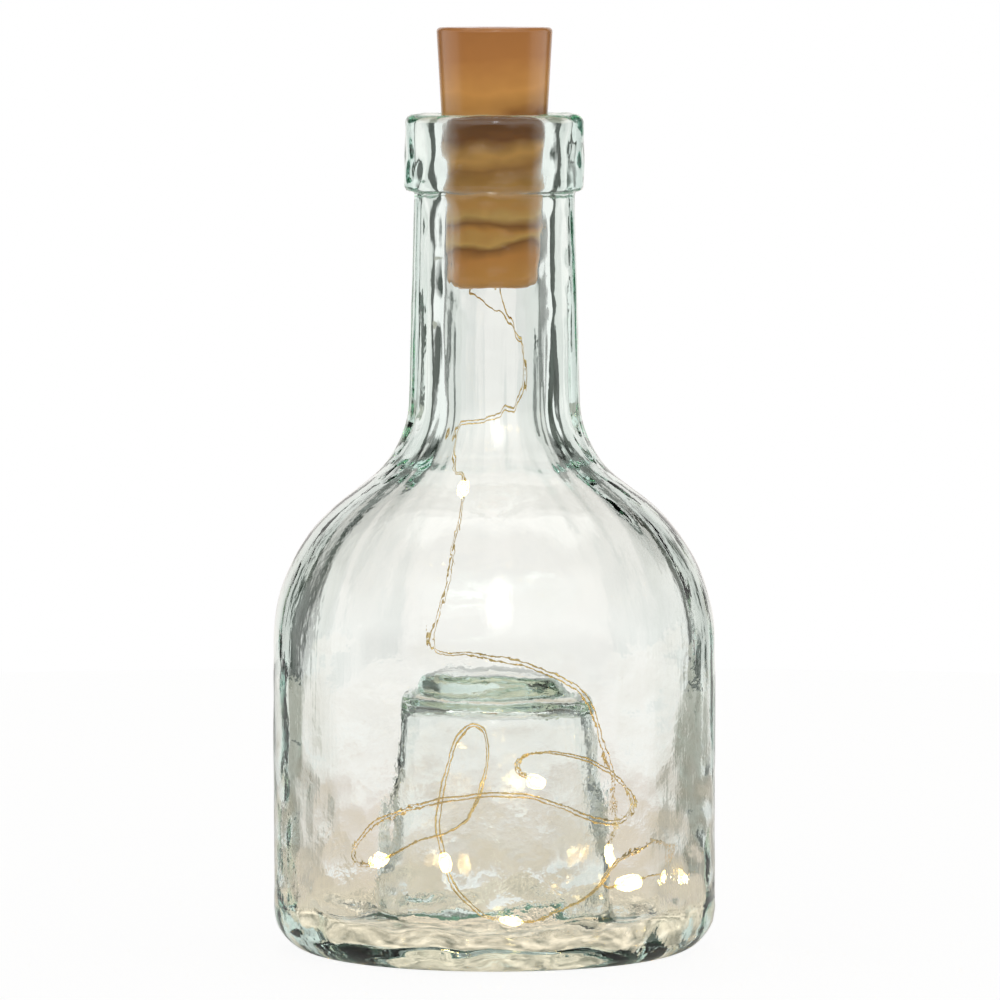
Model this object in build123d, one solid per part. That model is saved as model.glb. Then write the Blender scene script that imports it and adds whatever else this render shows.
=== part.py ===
from build123d import *
import math
import os

# A cork bottle light: a thick glass bottle with a raised punt, closed by a hollow tapered stopper.
# The stopper holds three button cells and a slide switch, and a fine wire light string hangs from it.
# Millimetres. +Z is up, the bottle's axis is the Z axis and its foot stands on Z = 0.
# +X is to the right and +Y away from someone who looks at the front.

# Bottle, outside
body_radius = 43.1
bottle_height = 163.2
heel_round = 8.5
shoulder_corner_height = 77.8
neck_corner_height = 97.8
neck_root_radius = 16.9
neck_top_radius = 15.6
shoulder_round = 36.0
neck_round = 20.4
lip_radius = 17.45
lip_height = 15.0
lip_top_round = 1.7
lip_bottom_round = 1.1
lip_underside_round = 0.5
mouth_round = 0.9

# Bottle, inside
body_wall = 5.6
shoulder_wall = 4.7
floor_thickness = 5.0
inner_heel_round = 6.0

# Punt: the tumbler shape that is pressed up through the floor, open below
punt_height = 54.2
punt_top_radius = 18.9
punt_foot_radius = 23.8
punt_crown_radius = 12.2
punt_crown_rise = 4.2
punt_crown_spread = 2.4
punt_rim_rise = 0.9
punt_disc_thickness = 5.5
punt_wall = 2.4
punt_edge_round = 1.6
punt_crown_round = 4.0
punt_crown_foot_round = 0.9
punt_foot_round = 3.0
cavity_round = 2.8
foot_ring_round = 2.5

# Stopper shell
stopper_length = 50.5
stopper_top_radius = 11.3
stopper_bottom_radius = 8.45
stopper_proud = 16.8
stopper_top_round = 0.8
stopper_bottom_round = 2.5
shell_floor = 2.0
shell_inner_round = 1.0
mouth_clearance = 0.12
running_clearance = 0.1
seat_clearance = 0.05

# Battery carrier, its head and the cells
head_radius = 9.4
head_thickness = 3.2
head_round = 0.4
cell_radius = 5.8
cell_height = 5.4
cell_cap_radius = 4.2
cell_cap_height = 0.5
cell_round = 0.4
cell_count = 3
carrier_wall = 0.85
carrier_partition = 1.0
carrier_floor = 1.5
contact_thickness = 0.3
contact_disc_radius = 4.0
rivet_radius = 1.1
rivet_proud = 0.3
strip_width = 2.2
strip_foot_length = 3.0

# Slide switch
switch_length = 8.6
switch_width = 4.4
switch_height = 3.6
knob_length = 2.4
knob_width = 2.2
knob_depth = 2.0
knob_below_top = 0.3
knob_round = 0.3
switch_travel = 2.0
finger_recess_depth = 0.9
finger_recess_margin = 1.4

# Contact board at the bottom of the shell
board_thickness = 1.0
board_ledge = 0.6
leaf_space = 4.0
leaf_width = 2.0
leaf_thickness = 0.25
leaf_bend = 0.8
resistor_radius = 0.9
resistor_length = 4.2
resistor_drop = 1.6
resistor_wire_radius = 0.2
resistor_wire_reach = 1.2

# Light string
wire_radius = 0.15
wire_hole_clearance = 0.05
string_radius = 0.525
strand_offset = 0.34
lead_left_x = -4.6
lead_right_x = 0.7
lead_fan_drop = 1.2
lead_straight = 0.9
lead_bend = 0.8
run_share = 0.45
bead_radius = 1.45
bead_half_length = 2.0
bead_end_radius = 0.8
chip_length = 1.6
chip_width = 1.0
chip_height = 0.45
chip_gap = 0.05

# Points of the string, in order from the stopper: each bend of the fine wire as it lies in the bottle.
# They were chosen for a stopper whose bottom is at this height.
string_hung_height = 129.5
string_route = [
    (2.4, 1.6, 123.2),
    (5.0, 2.2, 119.2),
    (6.5, 2.6, 113.7),
    (6.2, 2.6, 108.7),
    (2.6, 2.4, 105.4),
    (-1.8, 2.1, 103.1),
    (-6.3, 1.7, 103.0),
    (-8.8, 1.3, 101.4),
    (-8.7, 1.1, 97.2),
    (-6.4, 1.0, 93.0),
    (-5.6, 1.0, 84.8),
    (-7.3, 0.8, 80.4),
    (-7.6, 0.5, 75.4),
    (-8.6, 0.3, 70.0),
    (-10.3, 0.1, 65.2),
    (-12.2, -0.1, 60.6),
    (-10.6, -0.6, 57.0),
    (-5.2, -3.0, 57.6),
    (1.0, -8.0, 57.4),
    (6.9, -12.0, 56.6),
    (12.6, -14.2, 54.6),
    (17.3, -14.6, 51.2),
    (19.4, -14.2, 46.4),
    (21.1, -12.0, 40.4),
    (22.4, -10.2, 33.6),
    (23.1, -9.4, 28.0),
    (22.4, -10.8, 23.2),
    (21.3, -16.2, 17.3),
    (18.9, -19.6, 15.6),
    (21.8, -22.4, 14.4),
    (28.2, -18.0, 16.9),
    (31.3, -14.0, 16.7),
    (33.4, -8.0, 15.4),
    (36.3, 0.5, 13.8),
    (36.1, 5.0, 17.2),
    (35.8, 1.6, 21.9),
    (30.6, -6.4, 21.8),
    (25.0, -14.8, 21.0),
    (20.5, -21.6, 17.0),
    (16.2, -26.2, 12.6),
    (10.2, -29.6, 10.6),
    (6.8, -31.2, 9.0),
    (-1.0, -31.4, 9.2),
    (-4.8, -29.6, 12.6),
    (-8.0, -27.0, 16.0),
    (-10.1, -25.6, 24.0),
    (-10.5, -24.8, 28.8),
    (-9.7, -24.0, 34.2),
    (-8.4, -23.1, 39.2),
    (-6.8, -22.4, 43.8),
    (-4.3, -22.0, 47.0),
    (-1.5, -22.2, 45.0),
    (-1.2, -22.8, 40.6),
    (-2.4, -24.0, 35.4),
    (-3.6, -25.8, 30.0),
    (-7.2, -27.2, 26.2),
    (-12.4, -26.8, 24.8),
    (-17.9, -25.0, 22.4),
    (-24.7, -20.0, 18.4),
    (-27.4, -16.0, 20.6),
    (-24.6, -16.6, 24.8),
    (-18.9, -22.0, 29.2),
    (-12.4, -26.4, 31.8),
    (-4.7, -28.8, 33.2),
    (3.3, -29.8, 33.8),
    (9.8, -28.8, 32.4),
    (16.1, -26.4, 29.4),
    (21.6, -23.0, 27.0),
    (25.9, -19.8, 28.8),
    (25.3, -19.0, 33.2),
    (21.2, -20.6, 37.4),
    (15.4, -23.2, 40.4),
    (9.4, -25.6, 41.8),
    (4.2, -27.0, 41.0),
    (3.9, -27.8, 37.0),
    (7.6, -28.2, 36.0),
]

# The run of the string that carries each bead, counted by its first point, in order from the stopper
bead_run_counts = [9, 26, 29, 32, 41, 44, 57]

# Worked-out sizes
cut_overrun = 1.0
stopper_bottom = bottle_height + stopper_proud - stopper_length
stopper_top = stopper_bottom + stopper_length
stopper_slope = (stopper_top_radius - stopper_bottom_radius) / stopper_length
lip_bottom = bottle_height - lip_height
head_bottom = stopper_top - head_thickness
switch_bottom = head_bottom - switch_height
partition_bottom = switch_bottom - carrier_partition
top_contact_bottom = partition_bottom - contact_thickness
cells_bottom = top_contact_bottom - cell_count * cell_height
bottom_contact_bottom = cells_bottom - contact_thickness
carrier_bottom = bottom_contact_bottom - carrier_floor
rivet_bottom = carrier_bottom - rivet_proud
board_top = carrier_bottom - leaf_space
board_bottom = board_top - board_thickness
carrier_inner_radius = cell_radius + running_clearance
carrier_radius = carrier_inner_radius + carrier_wall
shell_bore_radius = carrier_radius + running_clearance
board_radius = shell_bore_radius - running_clearance
lower_bore_radius = shell_bore_radius - board_ledge
strip_depth = contact_thickness + seat_clearance
knob_bottom = head_bottom - knob_depth
knob_top = stopper_top - knob_below_top


def stopper_radius_at(height):
    """Outside radius of the stopper's taper at a height above the bottle's foot."""
    return stopper_bottom_radius + stopper_slope * (height - stopper_bottom)


def turned(outline):
    """Turn a closed outline of (radius, height, corner round) about the Z axis."""
    points = [(radius, 0, height) for radius, height, _ in outline]
    rounds = [corner for _, _, corner in outline]
    return revolve(make_face(FilletPolyline(*points, radius=rounds, close=True)), Axis.Z)


def upright_cylinder(radius, bottom, top, x=0, y=0):
    """A cylinder about an upright axis between two heights."""
    middle = (bottom + top) / 2
    return Pos(x, y, middle) * Cylinder(radius, top - bottom)


def hung_route():
    """The string's points, with those above the punt spread between its top and the stopper's bottom."""
    stretch = (stopper_bottom - punt_height) / (string_hung_height - punt_height)
    points = []
    for x, y, height in string_route:
        if height > punt_height:
            height = punt_height + (height - punt_height) * stretch
        points.append((x, y, height))
    return points


def bend_radii(route):
    """The largest arcs that the runs on both sides of each bend have room for."""
    radii = []
    for before, corner, after in zip(route, route[1:], route[2:]):
        arriving = Vector(*corner) - Vector(*before)
        leaving = Vector(*after) - Vector(*corner)
        half_turn = math.radians(arriving.get_angle(leaving) / 2)
        shorter = min(arriving.length, leaving.length)
        radii.append(run_share * shorter / math.tan(half_turn))
    return radii


def round_tube(route, radii, radius):
    """A round wire or cord along straight runs joined by tangent arcs."""
    path = FilletPolyline(*route, radius=radii)
    section = Plane(origin=path @ 0, z_dir=path % 0) * Circle(radius)
    return sweep(section, path=path), path.length


def bent_strip(route, bend, width, thickness):
    """A flat metal strip bent in an upright plane, with its width along X."""
    path = FilletPolyline(*route, radius=bend)
    section = Plane(origin=path @ 0, x_dir=(1, 0, 0), z_dir=path % 0) * Rectangle(width, thickness)
    return sweep(section, path=path)


def make_bottle():
    """The glass: body, shoulder, neck, heavy lip, and the punt raised through the floor."""
    inner_radius = body_radius - body_wall
    mouth_radius = stopper_radius_at(bottle_height) + mouth_clearance
    bore_radius = stopper_radius_at(lip_bottom) + mouth_clearance
    shoulder_run = body_radius - neck_root_radius
    shoulder_rise = neck_corner_height - shoulder_corner_height
    shoulder_slant = math.hypot(shoulder_run, shoulder_rise)
    shoulder_drop = shoulder_wall * shoulder_slant / shoulder_run

    def inner_shoulder_height(radius):
        climbed = (body_radius - radius) * shoulder_rise / shoulder_run
        return shoulder_corner_height + climbed - shoulder_drop

    rim_height = punt_height - punt_crown_rise
    punt_slope = (punt_foot_radius - punt_top_radius) / (rim_height - floor_thickness)
    ceiling = punt_height - punt_disc_thickness
    cavity_top_radius = punt_top_radius + punt_slope * (rim_height - ceiling) - punt_wall
    cavity_foot_radius = cavity_top_radius + punt_slope * ceiling
    return turned(
        [
            (0, ceiling, 0),
            (cavity_top_radius, ceiling, cavity_round),
            (cavity_foot_radius, 0, foot_ring_round),
            (body_radius, 0, heel_round),
            (body_radius, shoulder_corner_height, shoulder_round),
            (neck_root_radius, neck_corner_height, neck_round),
            (neck_top_radius, lip_bottom, lip_underside_round),
            (lip_radius, lip_bottom, lip_bottom_round),
            (lip_radius, bottle_height, lip_top_round),
            (mouth_radius, bottle_height, mouth_round),
            (bore_radius, lip_bottom, 0),
            (bore_radius, inner_shoulder_height(bore_radius), neck_round),
            (inner_radius, inner_shoulder_height(inner_radius), shoulder_round - shoulder_wall),
            (inner_radius, floor_thickness, inner_heel_round),
            (punt_foot_radius, floor_thickness, punt_foot_round),
            (punt_top_radius, rim_height, punt_edge_round),
            (punt_crown_radius + punt_crown_spread, rim_height + punt_rim_rise, punt_crown_foot_round),
            (punt_crown_radius, punt_height, punt_crown_round),
            (0, punt_height, 0),
        ]
    )


def make_stopper_shell():
    """The hollow tapered shell, with a seat for the head, a bore for the carrier and two wire holes."""
    floor_top = stopper_bottom + shell_floor
    outside = turned(
        [
            (0, stopper_bottom, 0),
            (stopper_bottom_radius, stopper_bottom, stopper_bottom_round),
            (stopper_top_radius, stopper_top, stopper_top_round),
            (0, stopper_top, 0),
        ]
    )
    hollow = turned(
        [
            (0, floor_top, 0),
            (lower_bore_radius, floor_top, shell_inner_round),
            (lower_bore_radius, board_bottom, 0),
            (shell_bore_radius, board_bottom, 0),
            (shell_bore_radius, head_bottom, 0),
            (head_radius + running_clearance, head_bottom, 0),
            (head_radius + running_clearance, stopper_top + cut_overrun, 0),
            (0, stopper_top + cut_overrun, 0),
        ]
    )
    hole_bottom = stopper_bottom - cut_overrun
    hole_top = floor_top + cut_overrun
    shell = outside - hollow
    for x in (lead_left_x, lead_right_x):
        shell -= upright_cylinder(wire_radius + wire_hole_clearance, hole_bottom, hole_top, x=x)
    return shell


def make_carrier_head():
    """The round head that closes the shell, with a finger recess and a window for the switch knob."""
    window_length = knob_length + switch_travel + 2 * running_clearance
    window_width = knob_width + 2 * running_clearance
    head = turned(
        [
            (0, head_bottom, 0),
            (head_radius, head_bottom, 0),
            (head_radius, stopper_top, head_round),
            (0, stopper_top, 0),
        ]
    )
    recess_length = window_length + 2 * finger_recess_margin
    recess_width = window_width + 2 * finger_recess_margin
    recess_bottom = Plane.XY.offset(stopper_top - finger_recess_depth)
    recess = extrude(
        recess_bottom * SlotOverall(recess_length, recess_width), finger_recess_depth + cut_overrun
    )
    window = Pos(0, 0, stopper_top) * Box(window_length, window_width, 2 * (head_thickness + cut_overrun))
    return head - recess - window


def make_switch_body():
    """The switch's box, with the slot that its knob runs in."""
    slot_length = knob_length + switch_travel + 2 * running_clearance
    slot_width = knob_width + 2 * running_clearance
    slot_depth = knob_depth + running_clearance
    middle = (head_bottom + switch_bottom) / 2
    body = Pos(0, 0, middle) * Box(switch_length, switch_width, switch_height)
    slot = Pos(0, 0, head_bottom) * Box(slot_length, slot_width, 2 * slot_depth)
    return body - slot


def make_switch_knob():
    """The knob at the end of its slot where the light is on."""
    height = knob_top - knob_bottom
    block = Box(knob_length, knob_width, height)
    block = fillet(block.edges().group_by(Axis.Z)[-1], knob_round)
    return Pos(-switch_travel / 2, 0, knob_bottom + height / 2) * block


def make_battery_carrier():
    """The cradle below the head: a tube with a pocket for the switch and an open side for the cells."""
    tube = upright_cylinder(carrier_radius, carrier_bottom, head_bottom)
    pocket = Pos(0, 0, head_bottom) * Box(
        switch_length + 2 * seat_clearance, switch_width + 2 * seat_clearance, 2 * switch_height
    )
    cells_top = partition_bottom
    bay = upright_cylinder(carrier_inner_radius, bottom_contact_bottom, cells_top)
    door_height = cells_top - bottom_contact_bottom
    door_middle = (cells_top + bottom_contact_bottom) / 2
    door_depth = carrier_radius + cut_overrun
    door = Pos(0, door_depth / 2, door_middle) * Box(2 * carrier_inner_radius, door_depth, door_height)
    rivet_hole = upright_cylinder(
        rivet_radius + seat_clearance, carrier_bottom - cut_overrun, bottom_contact_bottom + cut_overrun
    )
    groove_middle = (switch_bottom + carrier_bottom) / 2 - cut_overrun
    groove_height = switch_bottom - carrier_bottom + 2 * cut_overrun
    groove = Pos(0, -carrier_radius, groove_middle) * Box(
        strip_width + 2 * seat_clearance, 2 * strip_depth, groove_height
    )
    return tube - pocket - bay - door - rivet_hole - groove


def make_cell(index):
    """One button cell: a can with rounded edges and a smaller cap below."""
    bottom = cells_bottom + index * cell_height
    can_bottom = bottom + cell_cap_height
    top = bottom + cell_height
    return turned(
        [
            (0, bottom, 0),
            (cell_cap_radius, bottom, cell_round / 2),
            (cell_cap_radius, can_bottom, 0),
            (cell_radius, can_bottom, cell_round),
            (cell_radius, top, cell_round),
            (0, top, 0),
        ]
    )


def make_top_contact():
    """The disc between the uppermost cell and the switch."""
    return upright_cylinder(contact_disc_radius, top_contact_bottom, partition_bottom)


def make_bottom_contact():
    """The disc under the lowest cell, with the rivet that shows below the carrier."""
    disc = upright_cylinder(contact_disc_radius, bottom_contact_bottom, cells_bottom)
    return disc + upright_cylinder(rivet_radius, rivet_bottom, bottom_contact_bottom)


def make_side_strip():
    """The strip down the carrier's back, from the switch to a foot under the carrier's floor."""
    outer = -carrier_radius + running_clearance / 2
    middle_y = outer + contact_thickness / 2
    upright_middle = (switch_bottom + rivet_bottom) / 2
    upright = Pos(0, middle_y, upright_middle) * Box(
        strip_width, contact_thickness, switch_bottom - rivet_bottom
    )
    foot_middle = (rivet_bottom + carrier_bottom) / 2
    foot = Pos(0, outer + strip_foot_length / 2, foot_middle) * Box(
        strip_width, strip_foot_length, carrier_bottom - rivet_bottom
    )
    return upright + foot


def make_contact_board():
    """The round board on the shell's ledge, with two wire holes and two for the resistor."""
    board = upright_cylinder(board_radius, board_bottom, board_top)
    hole_bottom = board_bottom - cut_overrun
    hole_top = board_top + cut_overrun
    for x in (lead_left_x, lead_right_x):
        board -= upright_cylinder(wire_radius + wire_hole_clearance, hole_bottom, hole_top, x=x)
    for x, y in resistor_feet():
        board -= upright_cylinder(resistor_wire_radius + seat_clearance, hole_bottom, hole_top, x=x, y=y)
    return board


def leaf_route(base_y, tip_y, contact_height):
    """Side view of a leaf: a foot flat on the board, a rise, and a flat tip under its contact."""
    lie = board_top + leaf_thickness / 2
    reach = contact_height - seat_clearance - leaf_thickness / 2
    lean = (tip_y - base_y) / 2
    return [
        (0, base_y, lie),
        (0, base_y + lean / 2, lie),
        (0, base_y + lean / 2 + lean, reach),
        (0, tip_y, reach),
    ]


def make_centre_leaf():
    """The leaf spring that presses on the rivet."""
    route = leaf_route(carrier_inner_radius - board_ledge, -rivet_radius, rivet_bottom)
    return bent_strip(route, leaf_bend, leaf_width, leaf_thickness)


def make_side_leaf():
    """The leaf spring that presses on the side strip's foot."""
    tip = -carrier_inner_radius + board_ledge
    route = leaf_route(-rivet_radius - leaf_width / 2, tip, rivet_bottom)
    return bent_strip(route, leaf_bend, leaf_width, leaf_thickness)


def resistor_feet():
    """Where the resistor's two wires pass the board."""
    reach = resistor_length / 2 + resistor_wire_reach
    back = lower_bore_radius / 2
    return [(-reach, back), (reach, back)]


def make_resistor():
    """A small resistor below the board, with its wires bent up through it."""
    (left, back), (right, _) = resistor_feet()
    axis_height = board_bottom - resistor_drop
    route = [
        (left, back, board_top),
        (left, back, axis_height),
        (right, back, axis_height),
        (right, back, board_top),
    ]
    wires, _ = round_tube(route, [resistor_wire_reach / 2] * 2, resistor_wire_radius)
    body = Cylinder(resistor_radius, resistor_length, rotation=(0, 90, 0))
    body = fillet(body.edges(), resistor_wire_radius)
    return wires + Pos(0, back, axis_height) * body


def make_lead(x, side, route):
    """One wire from the board, down through the shell's floor and over to the string's first point."""
    start = Vector(*route[0])
    along = (Vector(*route[1]) - start).normalized()
    across = along.cross(Vector(0, 1, 0)).normalized()
    end = start + across * (side * strand_offset)
    fan = Vector(x, 0, stopper_bottom - lead_fan_drop)
    bends = [
        (x, 0, board_top),
        (fan.X, fan.Y, fan.Z),
        tuple(end - along * lead_straight),
        tuple(end),
    ]
    return round_tube(bends, [lead_bend, lead_bend / 2], wire_radius)[0]


def string_run(route, first):
    """Middle of the straight part of one run of the string, and the run's direction."""
    before, a, b, after = (Vector(*point) for point in route[first - 1 : first + 3])
    run = b - a
    start = run_share * min(run.length, (a - before).length)
    end = run.length - run_share * min(run.length, (after - b).length)
    direction = run.normalized()
    return a + direction * ((start + end) / 2), direction


def bead_places(route):
    """A place and a hole length for each bead: seven are threaded, and the last closes the end."""
    places = []
    for first in bead_run_counts:
        middle, direction = string_run(route, first)
        places.append((middle, direction, bead_half_length + cut_overrun))
    end = Vector(*route[-1])
    places.append((end, (end - Vector(*route[-2])).normalized(), 0))
    return places


def bead_plane(place, direction):
    """The bead's own plane: its axis along the wire, its chip towards the front."""
    return Plane(origin=place, x_dir=Vector(0, -1, 0).cross(direction).cross(direction) * -1, z_dir=direction)


def chip_block():
    """The light's chip beside the wire, in the bead's own place."""
    offset = string_radius + chip_gap + chip_height / 2
    return Pos(offset, 0, 0) * Box(chip_height, chip_width, chip_length)


def make_bead(place, direction, hole_reach):
    """A drop of clear resin around the wire and the chip."""
    with BuildLine(Plane.XZ) as outline:
        Polyline((0, -bead_half_length), (bead_end_radius, -bead_half_length))
        ThreePointArc(
            (bead_end_radius, -bead_half_length), (bead_radius, 0), (bead_end_radius, bead_half_length)
        )
        Polyline((bead_end_radius, bead_half_length), (0, bead_half_length), (0, -bead_half_length))
    drop = revolve(make_face(outline.line), Axis.Z)
    hole_start = -bead_half_length - cut_overrun
    hole = upright_cylinder(string_radius, hole_start, hole_reach)
    return bead_plane(place, direction).location * (drop - hole - chip_block())


def make_chip(place, direction):
    return bead_plane(place, direction).location * chip_block()


def write(node, solid):
    export_step(solid, os.path.join("parts", node + ".step"))


def main():
    os.makedirs("parts", exist_ok=True)
    write("bottle", make_bottle())
    write("stopper_shell", make_stopper_shell())
    write("carrier_head", make_carrier_head())
    write("switch_body", make_switch_body())
    write("switch_knob", make_switch_knob())
    write("battery_carrier", make_battery_carrier())
    for index in range(cell_count):
        write(f"cell_{index + 1}", make_cell(index))
    write("top_contact", make_top_contact())
    write("bottom_contact", make_bottom_contact())
    write("side_strip", make_side_strip())
    write("contact_board", make_contact_board())
    write("centre_leaf", make_centre_leaf())
    write("side_leaf", make_side_leaf())
    write("resistor", make_resistor())

    route = hung_route()
    write("lead_left", make_lead(lead_left_x, -1, route))
    write("lead_right", make_lead(lead_right_x, 1, route))
    radii = bend_radii(route)
    string, length = round_tube(route, radii, string_radius)
    write("light_string", string)
    for number, (place, direction, hole_reach) in enumerate(bead_places(route), start=1):
        write(f"led_bead_{number}", make_bead(place, direction, hole_reach))
        write(f"led_chip_{number}", make_chip(place, direction))

    section = math.pi * string_radius**2
    print("string length", round(length, 1), "volume", round(string.volume, 2), round(section * length, 2))
    print("string bend radii", [round(radius, 1) for radius in radii])


main()
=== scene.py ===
import math

import bmesh
import bpy
from mathutils import Matrix, Vector, noise


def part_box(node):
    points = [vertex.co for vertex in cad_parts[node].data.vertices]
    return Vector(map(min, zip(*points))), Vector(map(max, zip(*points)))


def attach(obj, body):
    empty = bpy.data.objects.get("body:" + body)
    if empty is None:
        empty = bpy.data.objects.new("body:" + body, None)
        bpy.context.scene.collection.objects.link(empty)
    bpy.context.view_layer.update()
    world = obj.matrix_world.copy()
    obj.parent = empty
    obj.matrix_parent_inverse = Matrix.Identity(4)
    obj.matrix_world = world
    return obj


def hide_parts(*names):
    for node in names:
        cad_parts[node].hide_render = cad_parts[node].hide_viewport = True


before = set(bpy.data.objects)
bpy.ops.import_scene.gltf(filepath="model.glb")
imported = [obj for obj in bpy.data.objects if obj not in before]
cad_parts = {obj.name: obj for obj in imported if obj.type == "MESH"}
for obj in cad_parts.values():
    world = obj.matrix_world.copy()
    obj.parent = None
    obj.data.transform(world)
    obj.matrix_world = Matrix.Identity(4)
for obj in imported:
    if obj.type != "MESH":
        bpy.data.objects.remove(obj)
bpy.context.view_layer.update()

# A cork bottle light: thick wavy glass, a caramel stopper and a fine wire light string.
# Metres. +Z is up the bottle's axis, +X right and +Y away from the camera.

# Bottle, outside
body_radius = 0.0431
bottle_height = 0.1632
heel_round = 0.0085
shoulder_corner_height = 0.0778
neck_corner_height = 0.0978
neck_root_radius = 0.0169
neck_top_radius = 0.0156
shoulder_round = 0.036
neck_round = 0.0204
lip_radius = 0.01745
lip_bottom = 0.1482
lip_top_round = 0.0017
lip_bottom_round = 0.0011
lip_underside_round = 0.0005
mouth_radius = 0.01047
mouth_round = 0.0009
bore_radius = 0.00963

# Bottle, inside and punt
inner_radius = 0.0375
inner_shoulder_height = 0.07616
inner_neck_height = 0.0974
inner_shoulder_round = 0.0313
floor_height = 0.005
inner_heel_round = 0.006
punt_height = 0.0542
punt_rim_height = 0.05
punt_top_radius = 0.0189
punt_foot_radius = 0.0238
punt_crown_radius = 0.0122
punt_crown_foot_radius = 0.0146
punt_crown_foot_height = 0.0509
punt_edge_round = 0.0016
punt_crown_round = 0.004
punt_crown_foot_round = 0.0009
punt_foot_round = 0.003
cavity_ceiling = 0.0487
cavity_top_radius = 0.01664
cavity_foot_radius = 0.02195
cavity_round = 0.0028
foot_ring_round = 0.0025

# A crease round the inside of the neck's root: how far it wanders up and down, and how often
crease_height = 0.0925
crease_depth = 0.0002
crease_width = 0.0012
crease_wander = 0.0012
crease_bends = 1.7
# How much lower the punt's crown is at its +X edge, and higher at the other
crown_lean = 0.0006

# How finely the glass is meshed: the steps along its outline, and the points round it
outline_step = 0.00115
arc_step = 0.0007
around = 252

# Light string: two wires side by side, as one cord
strand_radius = 0.00015
strand_offset = 0.00036
strand_sides = 8
# The wires turn round each other below the stopper, then slowly twist to and fro
first_turns = 1.5
first_turns_length = 0.011
slow_twist = 1.1
slow_twist_length = 0.021

# Beads: uneven drops of resin on the string
bead_count = 8
bead_radius = 0.00142
bead_half_length = 0.00205
drop_rings = 22
drop_sides = 24
drop_bluntness = 0.8
drop_unevenness = 0.03
drop_lumps = 1.3

# The string's route, in order from the stopper: each bend of it as it lies in the bottle
string_route = [
    (0.0024, 0.0016, 0.1232),
    (0.0050, 0.0022, 0.1192),
    (0.0065, 0.0026, 0.1137),
    (0.0062, 0.0026, 0.1087),
    (0.0026, 0.0024, 0.1054),
    (-0.0018, 0.0021, 0.1031),
    (-0.0063, 0.0017, 0.1030),
    (-0.0087, 0.0013, 0.1014),
    (-0.0086, 0.0011, 0.0972),
    (-0.0064, 0.0010, 0.0930),
    (-0.0056, 0.0010, 0.0848),
    (-0.0073, 0.0008, 0.0804),
    (-0.0076, 0.0005, 0.0754),
    (-0.0085, 0.0003, 0.0700),
    (-0.0105, 0.0001, 0.0652),
    (-0.0128, -0.0001, 0.0598),
    (-0.0108, -0.0006, 0.0570),
    (-0.0052, -0.0030, 0.0576),
    (0.0010, -0.0080, 0.0574),
    (0.0069, -0.0120, 0.0566),
    (0.0126, -0.0142, 0.0546),
    (0.0173, -0.0146, 0.0512),
    (0.0194, -0.0142, 0.0464),
    (0.0211, -0.0120, 0.0404),
    (0.0224, -0.0102, 0.0336),
    (0.0231, -0.0094, 0.0280),
    (0.0224, -0.0108, 0.0232),
    (0.0213, -0.0162, 0.0173),
    (0.0189, -0.0196, 0.0156),
    (0.0218, -0.0224, 0.0144),
    (0.0282, -0.0180, 0.0169),
    (0.0313, -0.0140, 0.0167),
    (0.0334, -0.0080, 0.0154),
    (0.0363, 0.0005, 0.0138),
    (0.0361, 0.0050, 0.0172),
    (0.0358, 0.0016, 0.0219),
    (0.0306, -0.0064, 0.0218),
    (0.0250, -0.0148, 0.0210),
    (0.0205, -0.0216, 0.0170),
    (0.0162, -0.0262, 0.0126),
    (0.0102, -0.0296, 0.0106),
    (0.0068, -0.0312, 0.0090),
    (-0.0010, -0.0314, 0.0092),
    (-0.0048, -0.0296, 0.0126),
    (-0.0080, -0.0270, 0.0160),
    (-0.0101, -0.0256, 0.0240),
    (-0.0105, -0.0248, 0.0288),
    (-0.0097, -0.0240, 0.0342),
    (-0.0084, -0.0231, 0.0392),
    (-0.0068, -0.0224, 0.0438),
    (-0.0043, -0.0220, 0.0470),
    (-0.0015, -0.0222, 0.0450),
    (-0.0012, -0.0228, 0.0406),
    (-0.0024, -0.0240, 0.0354),
    (-0.0036, -0.0258, 0.0300),
    (-0.0072, -0.0272, 0.0262),
    (-0.0124, -0.0268, 0.0248),
    (-0.0179, -0.0250, 0.0224),
    (-0.0247, -0.0200, 0.0184),
    (-0.0274, -0.0160, 0.0206),
    (-0.0246, -0.0166, 0.0248),
    (-0.0189, -0.0220, 0.0292),
    (-0.0124, -0.0264, 0.0318),
    (-0.0047, -0.0288, 0.0332),
    (0.0033, -0.0298, 0.0338),
    (0.0098, -0.0288, 0.0324),
    (0.0161, -0.0264, 0.0294),
    (0.0216, -0.0230, 0.0270),
    (0.0259, -0.0198, 0.0288),
    (0.0253, -0.0190, 0.0332),
    (0.0212, -0.0206, 0.0374),
    (0.0154, -0.0232, 0.0404),
    (0.0094, -0.0256, 0.0418),
    (0.0042, -0.0270, 0.0410),
    (0.0039, -0.0278, 0.0370),
    (0.0076, -0.0282, 0.0360),
]

# Camera: the photograph's place and angle
camera_place = (0.00107, -1.56, 0.199)
camera_target = (0.00107, 0, 0.088)
camera_lens = 0.2888
camera_sensor = 0.036
camera_nearest = 0.05
camera_farthest = 20

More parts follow.
